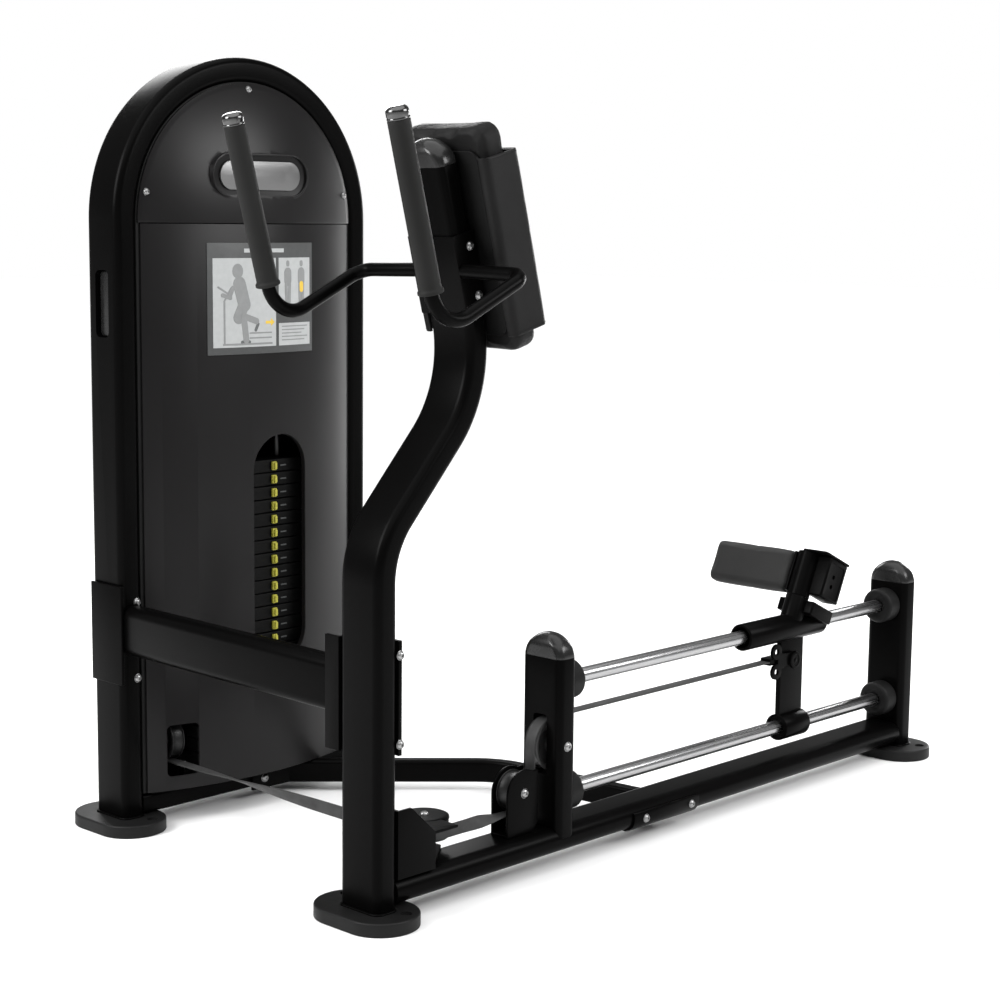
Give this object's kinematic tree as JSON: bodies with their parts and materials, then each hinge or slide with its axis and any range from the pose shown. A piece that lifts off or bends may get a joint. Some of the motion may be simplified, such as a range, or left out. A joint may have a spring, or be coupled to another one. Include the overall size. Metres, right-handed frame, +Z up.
{
  "type": "standing rear kick leg press machine",
  "caption": "Standing rear-kick leg press with an arched weight tower, leaning chest pad, hand grips, and a foot pad on a belt-drawn carriage that slides along two horizontal rods.",
  "frame": {"origin": "on the floor, under the middle of the machine's bounding box", "axes": "+X along the two rods, away from the chest pad; +Y from the rods towards the weight tower; +Z up"},
  "size_m": [1.8776, 1.109, 1.555],
  "materials": {
    "frame_paint": "satin black powder coat",
    "shroud_paint": "satin charcoal powder coat",
    "cap_plastic": "glossy dark grey moulding",
    "steel": "satin chrome",
    "stack_iron": "painted iron plates",
    "rubber": "moulded, matte",
    "vinyl": "black upholstery vinyl",
    "pulley_plastic": "moulded nylon",
    "belt_rubber": "woven, rubber coated",
    "lever_yellow": "moulded",
    "placard_face": "printed sheet"
  },
  "bodies": {
    "machine_frame": {"chest_post": "frame_paint", "base_beam": "frame_paint", "beam_saddle": "frame_paint", "diagonal_brace": "frame_paint", "front_upright": "frame_paint", "far_upright": "frame_paint", "crossbar": "frame_paint", "crossbar_saddle": "frame_paint", "crossbar_anchor": "frame_paint", "tower_arch_frame": "frame_paint", "tower_base": "frame_paint", "tower_top_frame": "frame_paint", "lower_pulley_housing": "frame_paint", "post_pulley_guard": "frame_paint", "handle_bracket": "frame_paint", "left_handlebar": "frame_paint", "right_handlebar": "frame_paint", "lower_front_shroud": "shroud_paint", "rear_shroud": "shroud_paint", "upper_front_panel": "shroud_paint", "post_cap": "cap_plastic", "front_upright_cap": "cap_plastic", "far_upright_cap": "cap_plastic", "upper_rod": "steel", "lower_rod": "steel", "left_guide_rod": "steel", "right_guide_rod": "steel", "badge_plate": "steel", "weight_stack": "stack_iron", "pad_back_board": "stack_iron", "post_foot": "rubber", "far_foot": "rubber", "tower_left_foot": "rubber", "tower_right_foot": "rubber", "upper_near_bumper": "rubber", "upper_far_bumper": "rubber", "lower_near_bumper": "rubber", "lower_far_bumper": "rubber", "left_grip": "rubber", "right_grip": "rubber", "chest_cushion": "vinyl", "pad_sleeve": "vinyl", "drive_belt": "belt_rubber", "travel_belt": "belt_rubber", "head_belt": "belt_rubber", "lock_lever_strip": "lever_yellow", "instruction_placard": "placard_face"},
    "carriage_body": {"carriage": "frame_paint", "belt_clamp": "frame_paint"},
    "foot_pad_body": {"foot_pad_arm": "frame_paint", "foot_pad": "rubber"},
    "head_body": {"head_plate": "stack_iron"},
    "upper_pulley_body": {"upper_pulley": "pulley_plastic"},
    "lower_pulley_body": {"lower_pulley": "pulley_plastic"},
    "post_pulley_body": {"post_pulley": "pulley_plastic"},
    "tower_pulley_body": {"tower_pulley": "pulley_plastic"},
    "top_pulley_body": {"top_pulley": "pulley_plastic"},
    "head_pulley_body": {"head_pulley": "pulley_plastic"},
    "lock_lever_body_1": {"lock_lever_1": "lever_yellow"},
    "lock_lever_body_2": {"lock_lever_2": "lever_yellow"}
  },
  "joints": [
    {"name": "carriage_slide", "type": "slide", "parent": "machine_frame", "child": "carriage_body", "axis": [1, 0, 0], "range_m": [-0.515, 0.2], "deforming": ["travel_belt"]},
    {"name": "head_lift", "type": "slide", "parent": "machine_frame", "child": "head_body", "axis": [0, 0, 1], "range_m": [-0.2576, 0.1001], "deforming": ["head_belt"]},
    {"name": "foot_pad_flip", "type": "hinge", "parent": "carriage_body", "child": "foot_pad_body", "pos_m": [0.48827, -0.3295, 0.42], "axis": [0.4226, 0, 0.9063], "range_deg": [0, 180]},
    {"name": "upper_pulley_spin", "type": "hinge", "parent": "machine_frame", "child": "upper_pulley_body", "pos_m": [-0.32173, -0.3295, 0.24], "axis": [0, 1, 0], "range_deg": [-590, 230]},
    {"name": "lower_pulley_spin", "type": "hinge", "parent": "machine_frame", "child": "lower_pulley_body", "pos_m": [-0.41073, -0.3295, 0.1605], "axis": [0, 1, 0], "range_deg": [-300, 770]},
    {"name": "post_pulley_spin", "type": "hinge", "parent": "machine_frame", "child": "post_pulley_body", "pos_m": [-0.61123, -0.285, 0.122], "axis": [0, 0, 1], "range_deg": [-665, 260]},
    {"name": "tower_pulley_spin", "type": "hinge", "parent": "machine_frame", "child": "tower_pulley_body", "pos_m": [-0.65573, 0.4345, 0.1665], "axis": [1, 0, 0], "range_deg": [-260, 665]},
    {"name": "top_pulley_spin", "type": "hinge", "parent": "machine_frame", "child": "top_pulley_body", "pos_m": [-0.57923, 0.4425, 1.368], "axis": [0, 1, 0], "range_deg": [-152, 388]},
    {"name": "head_pulley_spin", "type": "hinge", "parent": "head_body", "child": "head_pulley_body", "pos_m": [-0.45773, 0.4425, 1.0823], "axis": [0, 1, 0], "range_deg": [-330, 130]},
    {"name": "lock_lever_slide_1", "type": "slide", "parent": "machine_frame", "child": "lock_lever_body_1", "axis": [1, 0, 0], "range_m": [0, 0.008]},
    {"name": "lock_lever_slide_2", "type": "slide", "parent": "machine_frame", "child": "lock_lever_body_2", "axis": [1, 0, 0], "range_m": [0, 0.008]}
  ],
  "couplings": [
    {"joint": "head_lift", "follows": "carriage_slide", "ratio": 0.5},
    {"joint": "upper_pulley_spin", "follows": "carriage_slide", "rad_per_m": 19.802},
    {"joint": "lower_pulley_spin", "follows": "carriage_slide", "rad_per_m": -25.974},
    {"joint": "post_pulley_spin", "follows": "carriage_slide", "rad_per_m": 22.472},
    {"joint": "tower_pulley_spin", "follows": "carriage_slide", "rad_per_m": -22.472},
    {"joint": "top_pulley_spin", "follows": "carriage_slide", "rad_per_m": -13.072},
    {"joint": "head_pulley_spin", "follows": "carriage_slide", "rad_per_m": 11.111}
  ]
}
